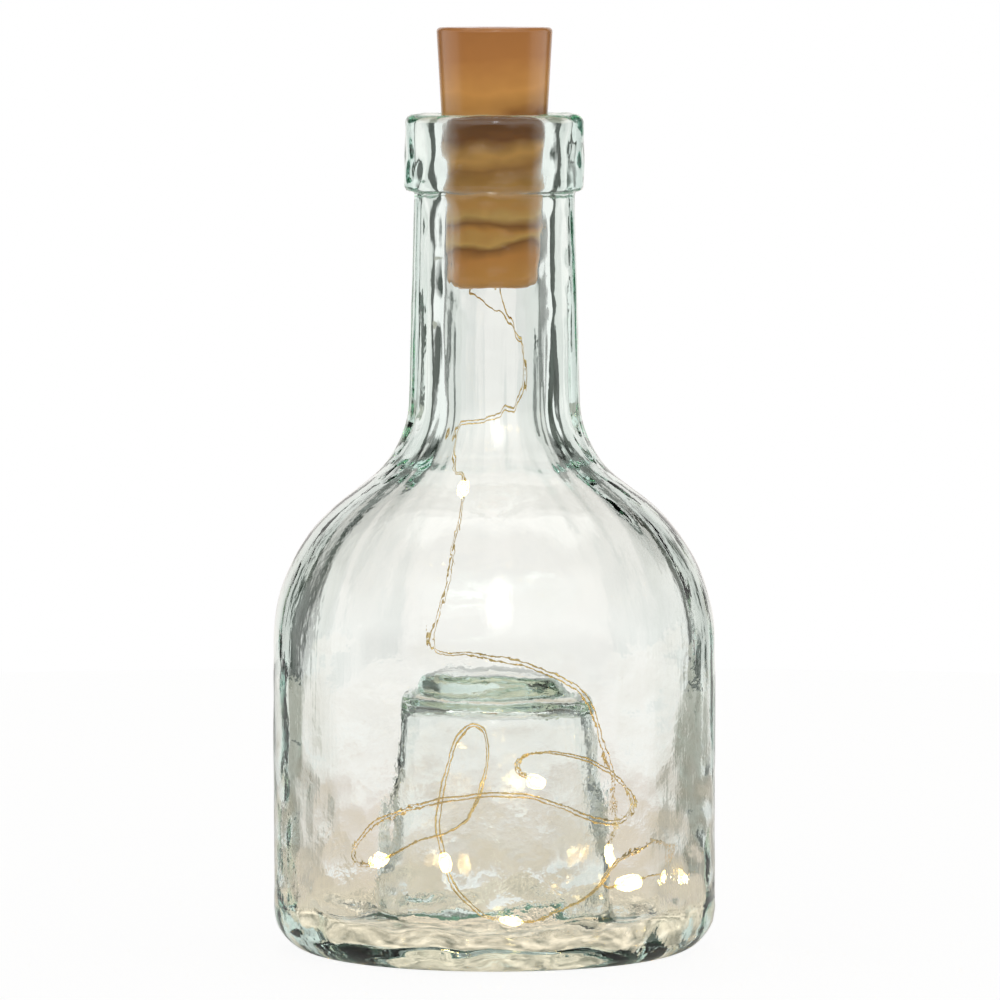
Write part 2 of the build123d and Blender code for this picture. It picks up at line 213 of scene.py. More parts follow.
# Studio: how bright it is by the angle from straight behind, near the horizon and above it
studio_round = [
    (0, (1.05, 0.99, 0.965)),
    (5, (1.01, 0.955, 0.93)),
    (10, (0.90, 0.87, 0.85)),
    (16, (0.84, 0.82, 0.79)),
    (23, (0.80, 0.79, 0.76)),
    (26, (0.70, 0.70, 0.67)),
    (30, (0.04, 0.05, 0.04)),
    (46, (0.06, 0.07, 0.06)),
    (52, (1.0, 0.98, 0.96)),
    (75, (1.0, 0.98, 0.96)),
    (98, (0.8, 0.8, 0.78)),
    (108, (0.12, 0.12, 0.11)),
    (180, (0.12, 0.12, 0.11)),
]
studio_round_above = [
    (0, (1.05, 0.99, 0.965)),
    (10, (0.92, 0.89, 0.87)),
    (16, (0.86, 0.84, 0.81)),
    (27, (0.74, 0.74, 0.71)),
    (31, (0.07, 0.08, 0.065)),
    (47, (0.09, 0.10, 0.085)),
    (53, (1.0, 0.98, 0.96)),
    (98, (0.8, 0.8, 0.78)),
    (108, (0.6, 0.6, 0.58)),
    (180, (0.75, 0.74, 0.72)),
]
# The angles above the horizon between which the first ring gives way to the second
above_start = 2
above_full = 7
# By the angle above the horizon, behind and at the sides
studio_levels = [
    (-90, (0.6, 0.6, 0.6)),
    (-20, (0.8, 0.8, 0.8)),
    (-8, (1.0, 1.0, 1.0)),
    (19, (1.0, 1.0, 1.0)),
    (25, (0.25, 0.26, 0.25)),
    (52, (0.2, 0.21, 0.2)),
    (58, (1.6, 1.6, 1.6)),
    (90, (1.6, 1.6, 1.6)),
]
# By the angle above the horizon, in front
front_levels = [
    (-90, (1.0, 1.0, 1.0)),
    (7, (1.0, 1.0, 1.0)),
    (12, (1.4, 1.4, 1.4)),
    (40, (1.4, 1.4, 1.4)),
    (50, (0.35, 0.35, 0.35)),
    (76, (0.35, 0.35, 0.35)),
    (82, (1.6, 1.6, 1.6)),
    (90, (1.6, 1.6, 1.6)),
]
# The angles from straight behind between which the front's levels take over
sides_end = 98
front_start = 110
# A soft tall window in front: its direction, its reach across, in depth and up, and its light
window_direction = (0.04, -0.865, 0.5)
window_reach = (0.13, 0.5, 0.32)
window_strength = 5.0
window_color = (1.0, 0.97, 0.92)
# How far out the window starts to fade, as a share of its reach
window_fade = 0.4

# Glass: its aqua tint, and how strongly each kind of fine relief shows
glass_tint = (0.3, 0.84, 0.68)
glass_tint_density = 10.0
fine_relief = 0.1
streak_relief = 0.07
pucker_relief = 0.09
crinkle_relief = 0.4
# Where the puckers and crinkles show, as shares of the bottle's height
low_wall = [
    (0.03, (0.15, 0.15, 0.15)),
    (0.07, (1, 1, 1)),
    (0.2, (1, 1, 1)),
    (0.34, (0.1, 0.1, 0.1)),
]

# The stopper's colour by its height: plain caramel above the lip, and below it painted light and
# shade in bands: golden painted light, darker painted shade between, and a painted shadow just
# under the lip's top
stopper_ramp_bottom = 0.128
stopper_ramp_top = 0.182
caramel_and_painted_bands = [
    (0.1280, (0.78, 0.33, 0.060)),
    (0.1320, (0.98, 0.46, 0.105)),
    (0.1360, (0.92, 0.39, 0.085)),
    (0.1378, (0.62, 0.25, 0.050)),
    (0.1388, (0.40, 0.15, 0.027)),
    (0.1402, (1.00, 0.60, 0.170)),
    (0.1418, (0.86, 0.40, 0.085)),
    (0.1432, (0.42, 0.16, 0.030)),
    (0.1450, (1.00, 0.62, 0.190)),
    (0.1470, (0.96, 0.48, 0.120)),
    (0.1500, (0.80, 0.40, 0.090)),
    (0.1535, (0.56, 0.25, 0.055)),
    (0.1568, (0.95, 0.50, 0.135)),
    (0.1598, (0.30, 0.11, 0.022)),
    (0.1628, (0.34, 0.13, 0.028)),
    (0.1652, (0.66, 0.32, 0.085)),
    (0.1690, (0.84, 0.40, 0.106)),
    (0.1750, (0.60, 0.25, 0.070)),
    (0.1820, (0.54, 0.22, 0.064)),
]
# How steeply the painted bands rise towards +X, and how far they wander down
painted_bands_rise = 0.12
painted_bands_wander = 0.0024

# Table: how large it is, and how far below the foot, so that the two don't touch
table_radius = 0.6
table_drop = 0.00005
# The table as the camera sees it: plain white, and how much of that takes no shadow
table_white = (1.05, 1.05, 1.05)
table_white_share = 0.88
# The table seen through the glass, by the distance from the axis as a share of its radius: a
# painted pool of warm light round the axis, darker there than far out
table_painted_pool = [
    (0.0, (0.76, 0.62, 0.45)),
    (0.22, (0.79, 0.66, 0.54)),
    (0.45, (0.87, 0.77, 0.72)),
    (0.62, (0.98, 0.91, 0.87)),
    (1.0, (1.05, 0.99, 0.965)),
]
# And by the angle from straight behind, away from the bottle: painted shade at the sides, where
# the studio has its dark gaps
table_painted_sides = [
    (0, (1.0, 1.0, 1.0)),
    (10, (1.0, 1.0, 1.0)),
    (16, (0.96, 0.96, 0.95)),
    (24, (0.90, 0.90, 0.88)),
    (28, (0.75, 0.76, 0.72)),
    (32, (0.38, 0.40, 0.35)),
    (54, (0.40, 0.42, 0.37)),
    (60, (0.8, 0.8, 0.8)),
    (180, (0.8, 0.8, 0.8)),
]
# The shares of its radius between which those angles start to count
table_round_start = 0.1
table_round_full = 0.35
# The shares within which painted glints of the beads' light lie on the table, and their colours
painted_glints_full = 0.07
painted_glints_end = 0.13
painted_glint_dark = (0.24, 0.22, 0.16)
painted_glint_bright = (1.30, 1.08, 0.84)

# The two ends of a mask
mask_off = (0, 0, 0)
mask_on = (1, 1, 1)


# Pieces and meshes


def new_piece(name, mesh, material, body):
    """A smooth object made from a mesh, riding on a body and finished from a slot."""
    piece = bpy.data.objects.new(name, mesh)
    bpy.context.scene.collection.objects.link(piece)
    mesh.materials.append(material)
    mesh.shade_smooth()
    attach(piece, body)
    return piece


def new_mesh(name, points, faces):
    """A mesh made from points and faces."""
    mesh = bpy.data.meshes.new(name)
    mesh.from_pydata(points, [], faces)
    mesh.update()
    return mesh


def dress(node, material):
    """Give a CAD node its material."""
    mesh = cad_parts[node].data
    mesh.materials.clear()
    mesh.materials.append(material)


# The bottle's wavy glass


def square_to(direction, vector):
    """The part of a vector that is square to a direction, with a length of 1."""
    return (vector - direction * vector.dot(direction)).normalized()


def arc_points(corner, before, after, radius):
    """Points round a corner of an outline, on the arc that touches both of its sides."""
    arriving = (corner - before).normalized()
    leaving = (after - corner).normalized()
    turn = arriving.angle(leaving)
    inward = square_to(arriving, leaving)
    start = corner - arriving * radius * math.tan(turn / 2)
    count = max(2, round(radius * turn / arc_step))
    points = []
    for step in range(count + 1):
        angle = turn * step / count
        ahead = start + arriving * radius * math.sin(angle)
        points.append(ahead + inward * radius * (1 - math.cos(angle)))
    return points


def sampled_outline(corners):
    """An outline of (radius, height, round, surface) as close points with their surfaces."""
    stops = [(Vector(corners[0][:2]), corners[0][3])]
    for before, corner, after in zip(corners, corners[1:], corners[2:]):
        here = Vector(corner[:2])
        if corner[2] == 0:
            stops.append((here, corner[3]))
            continue
        arc = arc_points(here, Vector(before[:2]), Vector(after[:2]), corner[2])
        stops.extend((point, corner[3]) for point in arc)
    stops.append((Vector(corners[-1][:2]), corners[-1][3]))
    points = []
    for (start, surface), (end, _) in zip(stops, stops[1:]):
        count = max(1, round((end - start).length / outline_step))
        points.extend((start.lerp(end, step / count), surface) for step in range(count))
    points.append(stops[-1])
    return points


def bottle_outline():
    """The glass cut in half: from the cavity up the outside, over the mouth, down to the punt."""
    return [
        (0, cavity_ceiling, 0, "cavity"),
        (cavity_top_radius, cavity_ceiling, cavity_round, "cavity"),
        (cavity_foot_radius, 0, foot_ring_round, "foot"),
        (body_radius, 0, heel_round, "outside"),
        (body_radius, shoulder_corner_height, shoulder_round, "outside"),
        (neck_root_radius, neck_corner_height, neck_round, "outside"),
        (neck_top_radius, lip_bottom, lip_underside_round, "lip"),
        (lip_radius, lip_bottom, lip_bottom_round, "lip"),
        (lip_radius, bottle_height, lip_top_round, "lip"),
        (mouth_radius, bottle_height, mouth_round, "mouth"),
        (bore_radius, lip_bottom, 0, "inside"),
        (bore_radius, inner_neck_height, neck_round, "inside"),
        (inner_radius, inner_shoulder_height, inner_shoulder_round, "inside"),
        (inner_radius, floor_height, inner_heel_round, "inside"),
        (punt_foot_radius, floor_height, punt_foot_round, "punt"),
        (punt_top_radius, punt_rim_height, punt_edge_round, "punt"),
        (punt_crown_foot_radius, punt_crown_foot_height, punt_crown_foot_round, "punt"),
        (punt_crown_radius, punt_height, punt_crown_round, "punt"),
        (0, punt_height, 0, "punt"),
    ]


def smooth_step(low, high, value):
    """0 below the low value and 1 above the high one, with a soft rise between."""
    share = min(1, max(0, (value - low) / (high - low)))
    return share * share * (3 - 2 * share)


def band(height, start, whole, fading, end):
    """1 inside a band of heights and 0 outside it, with soft ends."""
    return smooth_step(start, whole, height) * (1 - smooth_step(fading, end, height))


def bumps(place, depth, size, shift=(0, 0, 0)):
    """Round bumps and hollows, some share of a metre across."""
    return depth * noise.noise(place / size + Vector(shift))


def rings(angle, height, depth, turn, tall, shift):
    """Waves that run level round the glass, shorter with a larger turn."""
    place = Vector((math.cos(angle) * turn, math.sin(angle) * turn, height / tall + shift))
    return depth * noise.noise(place)


def flutes(angle, height, depth, count, tall, shift):
    """Upright waves, about so many round the glass."""
    return rings(angle, height, depth, count / math.tau, tall, shift)


def outside_waves(place, height, angle):
    """Flutes and a hammered skin up the wall, and pressed rings round the heel."""
    upright = flutes(angle, height, depth=0.00013, count=46, tall=0.045, shift=3.1)
    drawn = flutes(angle, height, depth=0.00004, count=105, tall=0.03, shift=6.4)
    broad = bumps(place, depth=0.00010, size=0.017)
    hammered = bumps(place, depth=0.00008, size=0.0056)
    wall = band(height, start=0.003, whole=0.012, fading=0.142, end=0.147)
    heel = band(height, start=0.001, whole=0.004, fading=0.009, end=0.016)
    pressed = rings(angle, height, depth=0.00012 * heel, turn=3.5, tall=0.0018, shift=5.5)
    return wall * (upright + drawn + broad + hammered) + pressed


def inside_waves(place, height, angle):
    """Flutes, a crease at the neck's root, puckers and folds low down, dents at the stopper."""
    around_axis = Vector((math.cos(angle), math.sin(angle), 4))
    wander = crease_wander * noise.noise(around_axis * crease_bends)
    off_crease = (height - crease_height - wander) / crease_width
    crease = -crease_depth * math.exp(-(off_crease ** 2))
    broad = bumps(place, depth=0.00018, size=0.014, shift=(7, 2, 5))
    upright = flutes(angle, height, depth=0.00014, count=30, tall=0.03, shift=9.7)
    drawn = flutes(angle, height, depth=0.00005, count=80, tall=0.025, shift=1.9)
    low_part = band(height, start=0.006, whole=0.012, fading=0.030, end=0.048)
    puckered = bumps(place, depth=0.00016 * low_part, size=0.0046, shift=(3, 9, 1))
    floor_part = 1 - smooth_step(0.006, 0.009, height)
    pool = bumps(place, depth=0.0004 * floor_part, size=0.007)
    heel = 1 - smooth_step(0.010, 0.017, height)
    folded = rings(angle, height, depth=0.0004 * heel, turn=4, tall=0.0028, shift=7.5)
    wall = crease + broad + upright + drawn + puckered + pool + folded
    dents = min(0, bumps(place, depth=-0.0004, size=0.0042, shift=(2, 6, 8)))
    seat = smooth_step(0.118, 0.126, height)
    return seat * dents + (1 - seat) * wall


def punt_waves(place, height, angle):
    """Soft bumps, folds round the foot, and a crown that leans."""
    crown = smooth_step(0.049, 0.053, height)
    lean = -crown_lean * crown * place.x / punt_crown_radius
    broad = bumps(place, depth=0.0003, size=0.011, shift=(1, 8, 3))
    foot = 1 - smooth_step(0.011, 0.019, height)
    folded = rings(angle, height, depth=0.0009 * foot, turn=3, tall=0.0034, shift=2.5)
    fine = bumps(place, depth=0.0001, size=0.0045, shift=(6, 1, 2))
    return lean + broad + folded + fine


def waviness(surface, radius, height, angle):
    """How far the glass stands out from its plain form at one place, in metres."""
    place = Vector((radius * math.cos(angle), radius * math.sin(angle), height))
    if surface == "outside":
        return outside_waves(place, height, angle)
    if surface == "inside":
        return inside_waves(place, height, angle)
    if surface == "punt":
        return punt_waves(place, height, angle)
    if surface == "cavity":
        return bumps(place, depth=0.0002, size=0.012, shift=(4, 4, 9))
    if surface == "lip":
        return bumps(place, depth=0.0003, size=0.0040)
    if surface == "foot":
        return -abs(bumps(place, depth=0.0003, size=0.008, shift=(5, 5, 5)))
    return 0


def loop_faces(first, loops, sides):
    """Faces between closed loops of points that follow each other in a list."""
    faces = []
    for loop in range(loops - 1):
        for side in range(sides):
            here = first + loop * sides + side
            beside = first + loop * sides + (side + 1) % sides
            faces.append((here, beside, beside + sides, here + sides))
    return faces


def make_bottle_mesh():
    """The wavy glass: the outline turned about the axis and moved out along its normal."""
    outline = sampled_outline(bottle_outline())
    points = []
    for before, (place, surface), after in zip(outline, outline[1:], outline[2:]):
        along = (after[0] - before[0]).normalized()
        outward = Vector((along.y, -along.x))
        for step in range(around):
            angle = math.tau * step / around
            moved = place + outward * waviness(surface, place.x, place.y, angle)
            points.append((moved.x * math.cos(angle), moved.x * math.sin(angle), moved.y))
    loops = len(outline) - 2
    faces = loop_faces(0, loops, around)
    last_loop = (loops - 1) * around
    points.append((0, 0, outline[0][0].y))
    points.append((0, 0, outline[-1][0].y))
    for step in range(around):
        beside = (step + 1) % around
        faces.append((len(points) - 2, beside, step))
        faces.append((len(points) - 1, last_loop + step, last_loop + beside))
    return new_mesh("bottle_glass", points, faces)


# The light string and its beads


def route_line(name, points):
    """A smooth curve object that follows the route's points."""
    curve = bpy.data.curves.new(name, "CURVE")
    curve.dimensions = "3D"
    spline = curve.splines.new("NURBS")
    spline.points.add(len(points) - 1)
    for control, point in zip(spline.points, points):
        control.co = (*point, 1)
    spline.order_u = 3
    spline.use_endpoint_u = True
    spline.resolution_u = 12
    return bpy.data.objects.new(name, curve)


def line_points(line):
    """The places along a curve object, as Blender draws it."""
    mesh = bpy.data.meshes.new_from_object(line)
    points = [vertex.co.copy() for vertex in mesh.vertices]
    bpy.data.meshes.remove(mesh)
    return points


def direction_at(path, index):
    """The direction of a path at one of its points."""
    before = path[max(0, index - 1)]
    after = path[min(len(path) - 1, index + 1)]
    return (after - before).normalized()


def nearest_direction(path, place):
    """The direction of a path where it passes closest to a place."""
    inner = range(1, len(path) - 1)
    return direction_at(path, min(inner, key=lambda index: (path[index] - place).length))


def strand_points(path, side):
    """One wire of the pair: it starts beside the path, seen from the front, and turns round it."""
    across = (path[1] - path[0]).normalized().cross(Vector((0, 1, 0))).normalized()
    points = []
    travelled = 0
    for index, place in enumerate(path):
        direction = direction_at(path, index)
        across = square_to(direction, across)
        travelled += (place - path[max(0, index - 1)]).length
        first_twist = math.tau * first_turns * smooth_step(0, first_turns_length, travelled)
        wander = slow_twist * noise.noise(Vector((travelled / slow_twist_length, 0.5, 2.5)))
        turned = Matrix.Rotation(first_twist + wander, 3, direction) @ across
        points.append(place + turned * strand_offset * side)
    return points


def add_tube(points, faces, path, radius, sides):
    """Add a closed round wire along a path to a list of points and faces."""
    first = len(points)
    off_path = Vector((0.3, 0.5, 0.8))
    across = (path[1] - path[0]).normalized().cross(off_path).normalized()
    for index, place in enumerate(path):
        direction = direction_at(path, index)
        across = square_to(direction, across)
        beside = direction.cross(across)
        for side in range(sides):
            angle = math.tau * side / sides
            outward = across * math.cos(angle) + beside * math.sin(angle)
            points.append(place + outward * radius)
    faces.extend(loop_faces(first, len(path), sides))
    faces.append(tuple(first + side for side in reversed(range(sides))))
    last = first + (len(path) - 1) * sides
    faces.append(tuple(last + side for side in range(sides)))


def make_string_mesh(path):
    """The string's two wires."""
    points = []
    faces = []
    for side in (-1, 1):
        add_tube(points, faces, strand_points(path, side), strand_radius, strand_sides)
    return new_mesh("light_wires", points, faces)


def make_drop_mesh(name, centre, direction, seed):
    """A drop of resin round the wires: a rounded, slightly uneven spindle."""
    off_path = Vector((0, 1, 0.3))
    across = direction.cross(off_path).normalized()
    beside = direction.cross(across)
    points = [centre - direction * bead_half_length]
    for ring in range(1, drop_rings):
        angle = math.pi * ring / drop_rings
        along = -math.cos(angle) * bead_half_length
        radius = bead_radius * math.sin(angle) ** drop_bluntness
        for side in range(drop_sides):
            turn = math.tau * side / drop_sides
            outward = across * math.cos(turn) + beside * math.sin(turn)
            place = (outward + direction * along / bead_radius) * drop_lumps + Vector((seed, 0, 0))
            uneven = 1 + drop_unevenness * noise.noise(place)
            points.append(centre + direction * along + outward * radius * uneven)
    points.append(centre + direction * bead_half_length)
    faces = []
    last = 1 + (drop_rings - 2) * drop_sides
    for side in range(drop_sides):
        next_side = (side + 1) % drop_sides
        faces.append((0, 1 + next_side, 1 + side))
        faces.append((len(points) - 1, last + side, last + next_side))
        for ring in range(drop_rings - 2):
            here = 1 + ring * drop_sides + side
            beside_here = 1 + ring * drop_sides + next_side
            faces.append((here, beside_here, beside_here + drop_sides, here + drop_sides))
    return new_mesh(name, points, faces)


# What the materials and the studio are made from


def new_material(name):
    """A material with its node tree, its Principled shader and its output."""
    material = bpy.data.materials.new(name)
    material.use_nodes = True
    tree = material.node_tree
    return material, tree, tree.nodes["Principled BSDF"], tree.nodes["Material Output"]


def feed(tree, socket, value):
    """Link a socket to another, or give it a plain value."""
    if isinstance(value, bpy.types.NodeSocket):
        tree.links.new(value, socket)
    else:
        socket.default_value = value


def add_math(tree, operation, *values):
    """A Math node over sockets or plain numbers."""
    node = tree.nodes.new("ShaderNodeMath")
    node.operation = operation
    for socket, value in zip(node.inputs, values):
        feed(tree, socket, value)
    return node.outputs[0]


def add_vector_math(tree, operation, *values):
    """A Vector Math node over sockets or plain vectors."""
    node = tree.nodes.new("ShaderNodeVectorMath")
    node.operation = operation
    for socket, value in zip(node.inputs, values):
        feed(tree, socket, value)
    return node


def add_blend(tree, share, first, second, kind="MIX"):
    """Two colours blended, each a socket or a plain colour."""
    node = tree.nodes.new("ShaderNodeMix")
    node.data_type = "RGBA"
    node.blend_type = kind
    feed(tree, node.inputs["Factor"], share)
    feed(tree, node.inputs["A"], first)
    feed(tree, node.inputs["B"], second)
    return node.outputs["Result"]


def add_shader_mix(tree, share, first, second):
    """Two shaders mixed."""
    node = tree.nodes.new("ShaderNodeMixShader")
    tree.links.new(share, node.inputs["Fac"])
    tree.links.new(first, node.inputs[1])
    tree.links.new(second, node.inputs[2])
    return node.outputs["Shader"]


def add_background(tree, color, strength):
    """A world's light, its colour and strength each a socket or a plain value."""
    node = tree.nodes.new("ShaderNodeBackground")
    feed(tree, node.inputs["Color"], color)
    feed(tree, node.inputs["Strength"], strength)
    return node.outputs["Background"]


def add_bump(tree, shader, height, strength, distance):
    """Fine relief on a shader, from a socket that gives its height."""
    bump = tree.nodes.new("ShaderNodeBump")
    bump.inputs["Strength"].default_value = strength
    bump.inputs["Distance"].default_value = distance
    tree.links.new(height, bump.inputs["Height"])
    tree.links.new(bump.outputs["Normal"], shader.inputs["Normal"])


def add_ramp(tree, value, stops):
    """A colour ramp over a value, with stops of (place, colour)."""
    ramp = tree.nodes.new("ShaderNodeValToRGB")
    elements = ramp.color_ramp.elements
    while len(elements) < len(stops):
        elements.new(0.5)
    for element, (place, color) in zip(elements, stops):
        element.position = place
        element.color = (*color, 1)
    tree.links.new(value, ramp.inputs["Fac"])
    return ramp.outputs["Color"]


def add_ramp_round(tree, share, stops):
    """A colour ramp by the angle from straight behind, with stops in degrees."""
    return add_ramp(tree, share, [(degrees / 180, color) for degrees, color in stops])


def add_ramp_up(tree, share, stops):
    """A colour ramp by the angle above the horizon, with stops in degrees."""
    return add_ramp(tree, share, [((degrees + 90) / 180, color) for degrees, color in stops])


def split_vector(tree, vector):
    """A vector's X, Y and Z."""
    split = tree.nodes.new("ShaderNodeSeparateXYZ")
    tree.links.new(vector, split.inputs["Vector"])
    return split.outputs


def object_place(tree):
    """X, Y and Z in the object's own coordinates."""
    return split_vector(tree, tree.nodes.new("ShaderNodeTexCoord").outputs["Object"])


def share_round(tree, place):
    """The angle from straight behind, as a share of half a turn."""
    turn = add_math(tree, "ARCTAN2", place["X"], place["Y"])
    return add_math(tree, "DIVIDE", add_math(tree, "ABSOLUTE", turn), math.pi)


def mottle_group():
    """Noise in the object's own coordinates, as a mask and as a blend of two colours."""
    group = bpy.data.node_groups.new("mottle", "ShaderNodeTree")
    for name, kind, value in [
        ("Scale", "NodeSocketFloat", 500.0),
        ("Detail", "NodeSocketFloat", 2.0),
        ("Stretch", "NodeSocketVector", (1.0, 1.0, 1.0)),
        ("Low", "NodeSocketColor", (0.0, 0.0, 0.0, 1.0)),
        ("High", "NodeSocketColor", (1.0, 1.0, 1.0, 1.0)),
    ]:
        socket = group.interface.new_socket(name, in_out="INPUT", socket_type=kind)
        socket.default_value = value
    group.interface.new_socket("Color", in_out="OUTPUT", socket_type="NodeSocketColor")
    group.interface.new_socket("Mask", in_out="OUTPUT", socket_type="NodeSocketFloat")
    given = group.nodes.new("NodeGroupInput").outputs
    result = group.nodes.new("NodeGroupOutput").inputs
    coordinates = group.nodes.new("ShaderNodeTexCoord").outputs["Object"]
    stretched = add_vector_math(group, "MULTIPLY", coordinates, given["Stretch"])
    texture = group.nodes.new("ShaderNodeTexNoise")
    group.links.new(stretched.outputs["Vector"], texture.inputs["Vector"])
    group.links.new(given["Scale"], texture.inputs["Scale"])
    group.links.new(given["Detail"], texture.inputs["Detail"])
    spread = group.nodes.new("ShaderNodeMapRange")
    spread.inputs["From Min"].default_value = 0.3
    spread.inputs["From Max"].default_value = 0.7
    group.links.new(texture.outputs["Fac"], spread.inputs["Value"])
    mask = spread.outputs["Result"]
    group.links.new(add_blend(group, mask, given["Low"], given["High"]), result["Color"])
    group.links.new(mask, result["Mask"])
    return group


def add_mottle(tree, scale, detail=2.0, stretch=(1, 1, 1), low=mask_off, high=mask_on):
    """One use of the mottle effect, with this material's own values."""
    node = tree.nodes.new("ShaderNodeGroup")
    node.node_tree = mottle
    node.inputs["Scale"].default_value = scale
    node.inputs["Detail"].default_value = detail
    node.inputs["Stretch"].default_value = stretch
    node.inputs["Low"].default_value = (*low, 1)
    node.inputs["High"].default_value = (*high, 1)
    return node.outputs


# The materials


def glass_material():
    """Thick clear glass with a faint aqua tint, a hammered surface and fine drawn streaks."""
    material, tree, shader, output = new_material("bottle_glass")
    shader.inputs["Base Color"].default_value = (1, 1, 1, 1)
    shader.inputs["Roughness"].default_value = 0.0
    shader.inputs["IOR"].default_value = 1.5
    shader.inputs["Transmission Weight"].default_value = 1.0
    absorb = tree.nodes.new("ShaderNodeVolumeAbsorption")
    absorb.inputs["Color"].default_value = (*glass_tint, 1)
    absorb.inputs["Density"].default_value = glass_tint_density
    tree.links.new(absorb.outputs["Volume"], output.inputs["Volume"])
    height_share = add_math(tree, "DIVIDE", object_place(tree)["Z"], bottle_height)
    low = add_ramp(tree, height_share, low_wall)
    fine = add_mottle(tree, scale=420)["Mask"]
    pucker = add_mottle(tree, scale=280, detail=3.0)["Mask"]
    crinkle = add_mottle(tree, scale=700)["Mask"]
    patches = add_mottle(tree, scale=70)["Mask"]
    streaks = add_mottle(tree, scale=800, detail=1.0, stretch=(1, 1, 0.09))["Mask"]
    few_patches = add_math(tree, "MULTIPLY", patches, patches)
    crinkled = add_math(tree, "MULTIPLY", crinkle, few_patches)
    crinkles = add_math(tree, "MULTIPLY", crinkled, crinkle_relief)
    ripple = add_math(tree, "MULTIPLY_ADD", pucker, pucker_relief, crinkles)
    lowered = add_math(tree, "MULTIPLY", ripple, low)
    streaked = add_math(tree, "MULTIPLY_ADD", streaks, streak_relief, lowered)
    height = add_math(tree, "MULTIPLY_ADD", fine, fine_relief, streaked)
    add_bump(tree, shader, height, strength=1.0, distance=0.0001)
    return material


def stopper_material():
    """Glossy caramel plastic, with painted light and shade in golden bands round its lower part.
    """
    material, tree, shader, _ = new_material("stopper_plastic")
    place = object_place(tree)
    # Painted light and shade: golden bands of painted light, darker painted shade and a painted
    # shadow under the lip, laid on by height
    wander = add_mottle(tree, scale=110, stretch=(1, 1, 1.6))["Mask"]
    sloping = add_math(tree, "MULTIPLY_ADD", place["X"], -painted_bands_rise, place["Z"])
    level = add_math(tree, "MULTIPLY_ADD", wander, painted_bands_wander, sloping)
    reach = stopper_ramp_top - stopper_ramp_bottom
    share = add_math(tree, "DIVIDE", add_math(tree, "SUBTRACT", level, stopper_ramp_bottom), reach)
    stops = [((height - stopper_ramp_bottom) / reach, color) for height, color in caramel_and_painted_bands]
    tree.links.new(add_ramp(tree, share, stops), shader.inputs["Base Color"])
    shader.inputs["Roughness"].default_value = 0.24
    shader.inputs["IOR"].default_value = 1.5
    shader.inputs["Coat Weight"].default_value = 0.25
    shader.inputs["Coat Roughness"].default_value = 0.08
    grain = add_mottle(tree, scale=160, detail=1.0)["Mask"]
    add_bump(tree, shader, grain, strength=0.15, distance=0.0001)
    return material


def metal_material(name, color, roughness):
    """A worn metal: a fifth rougher where it is dark, and a fifth smoother where it is pale."""
    material, tree, shader, _ = new_material(name)
    shader.inputs["Metallic"].default_value = 1.0
    dark = tuple(channel * 0.75 for channel in color)
    worn = add_mottle(tree, scale=700, detail=3.0, low=dark, high=color)
    tree.links.new(worn["Color"], shader.inputs["Base Color"])
    roughest = 1.2 * roughness
    change = -0.4 * roughness
    spread = add_math(tree, "MULTIPLY_ADD", worn["Mask"], change, roughest)
    tree.links.new(spread, shader.inputs["Roughness"])
    return material


def plastic_material(name, color, roughness):
    """Moulded plastic with a fine grain."""
    material, tree, shader, _ = new_material(name)
    dark = tuple(channel * 0.85 for channel in color)
    grain = add_mottle(tree, scale=500, detail=3.0, low=dark, high=color)
    tree.links.new(grain["Color"], shader.inputs["Base Color"])
    shader.inputs["Roughness"].default_value = roughness
    add_bump(tree, shader, grain["Mask"], strength=0.1, distance=0.00005)
    return material


def resin_material():
    """Clear resin that glows with the chip inside it."""
    material, _, shader, _ = new_material("bead_resin")
    shader.inputs["Base Color"].default_value = (1, 0.9, 0.66, 1)
    shader.inputs["Roughness"].default_value = 0.35
    shader.inputs["IOR"].default_value = 1.45
    shader.inputs["Transmission Weight"].default_value = 1.0
    shader.inputs["Emission Color"].default_value = (1, 0.68, 0.24, 1)
    shader.inputs["Emission Strength"].default_value = 1.3
    return material


def chip_material():
    """The grainy yellow top of a light chip, lit."""
    material, tree, shader, _ = new_material("chip_phosphor")
    grain = add_mottle(tree, scale=2500, low=(0.9, 0.7, 0.25), high=(1.0, 0.85, 0.45))
    tree.links.new(grain["Color"], shader.inputs["Base Color"])
    shader.inputs["Emission Color"].default_value = (1, 0.85, 0.55, 1)
    shader.inputs["Emission Strength"].default_value = 400.0
    return material


